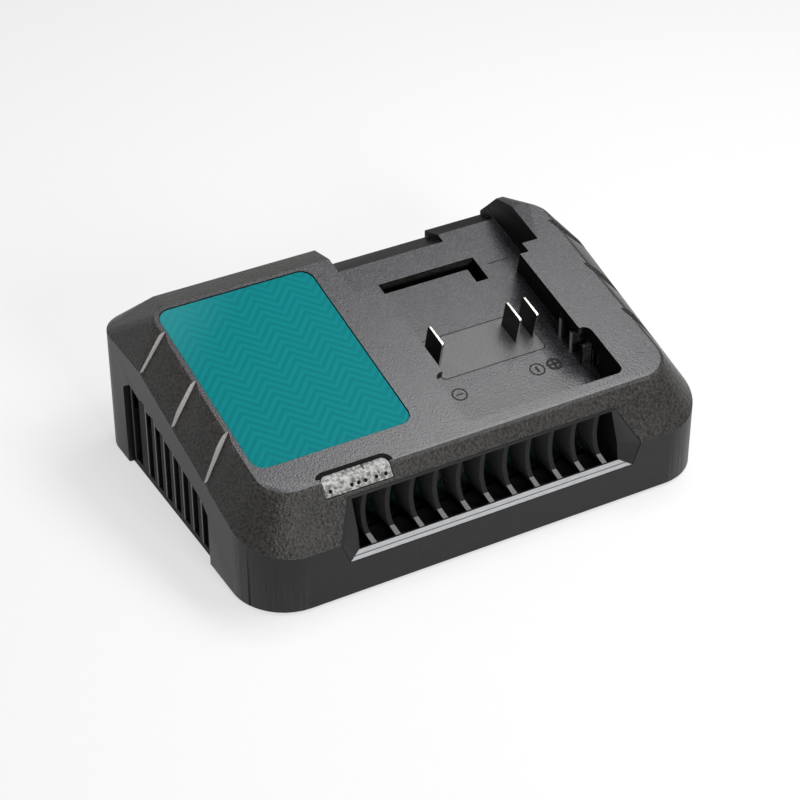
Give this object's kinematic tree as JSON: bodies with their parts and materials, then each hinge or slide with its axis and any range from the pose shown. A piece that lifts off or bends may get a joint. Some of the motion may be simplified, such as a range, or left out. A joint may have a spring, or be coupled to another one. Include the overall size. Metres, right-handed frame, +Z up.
{
  "type": "power tool battery charger",
  "caption": "Wedge-shaped bench charger with a slide-in battery bay, contact blades, curved-fin louvre, side vents and an indicator window.",
  "frame": {"origin": "middle of the footprint, on the surface the feet stand on", "axes": "+X to the right along the front louvre, +Y from the front to the back, +Z up"},
  "size_m": [0.18, 0.127, 0.0621],
  "materials": {
    "upper_shell": "fine spark-eroded grain",
    "lower_shell": "fine spark-eroded grain",
    "label_face": "smooth satin with a faint tone-on-tone pattern",
    "lens": "clear, lightly frosted",
    "louvre": "fine grain",
    "block": "fine grain",
    "contact_metal": "nickel plated",
    "wire_sleeve": "smooth insulation",
    "inlet_body": "smooth",
    "pin_metal": "polished",
    "laminate": "solder mask",
    "fuse_glass": "glazed",
    "film_case": "moulded case",
    "choke_copper": "enamelled wire",
    "device_case": "moulded epoxy",
    "sleeve": "shrink sleeve",
    "ferrite": "sintered ferrite",
    "bobbin": "moulded",
    "winding": "polyester tape",
    "sink_metal": "mill finish",
    "led_epoxy": "clear epoxy",
    "fan_plastic": "moulded",
    "stator_copper": "enamelled wire on steel",
    "bearing_bronze": "sintered bronze",
    "shaft_steel": "ground",
    "screw_steel": "zinc plated",
    "foot_rubber": "matt"
  },
  "bodies": {
    "housing": {"top_cover": "upper_shell", "base_cover": "lower_shell", "label_plate": "label_face", "indicator_lens": "lens", "front_grille": "louvre", "terminal_block": "block", "blade_negative": "contact_metal", "blade_data": "contact_metal", "blade_positive": "contact_metal", "terminal_wires": "wire_sleeve", "inlet_socket": "inlet_body", "inlet_pins": "pin_metal", "circuit_board": "laminate", "fuse": "fuse_glass", "x_capacitor": "film_case", "line_choke": "choke_copper", "bridge_rectifier": "device_case", "bulk_capacitor": "sleeve", "transformer_core": "ferrite", "transformer_bobbin": "bobbin", "transformer_winding": "winding", "primary_heat_sink": "sink_metal", "power_transistor": "device_case", "secondary_heat_sink": "sink_metal", "output_rectifier": "device_case", "output_capacitors": "sleeve", "control_chip": "device_case", "led_board": "laminate", "indicator_leds": "led_epoxy", "fan_frame": "fan_plastic", "fan_stator": "stator_copper", "fan_bearing": "bearing_bronze", "board_screws": "screw_steel", "housing_screws": "screw_steel", "rubber_feet": "foot_rubber"},
    "fan_rotor": {"fan_impeller": "fan_plastic", "fan_shaft": "shaft_steel"}
  },
  "joints": [
    {"name": "fan_spin", "type": "hinge", "parent": "housing", "child": "fan_rotor", "pos_m": [-0.0826, 0.008, 0.023], "axis": [1, 0, 0], "continuous": true}
  ]
}
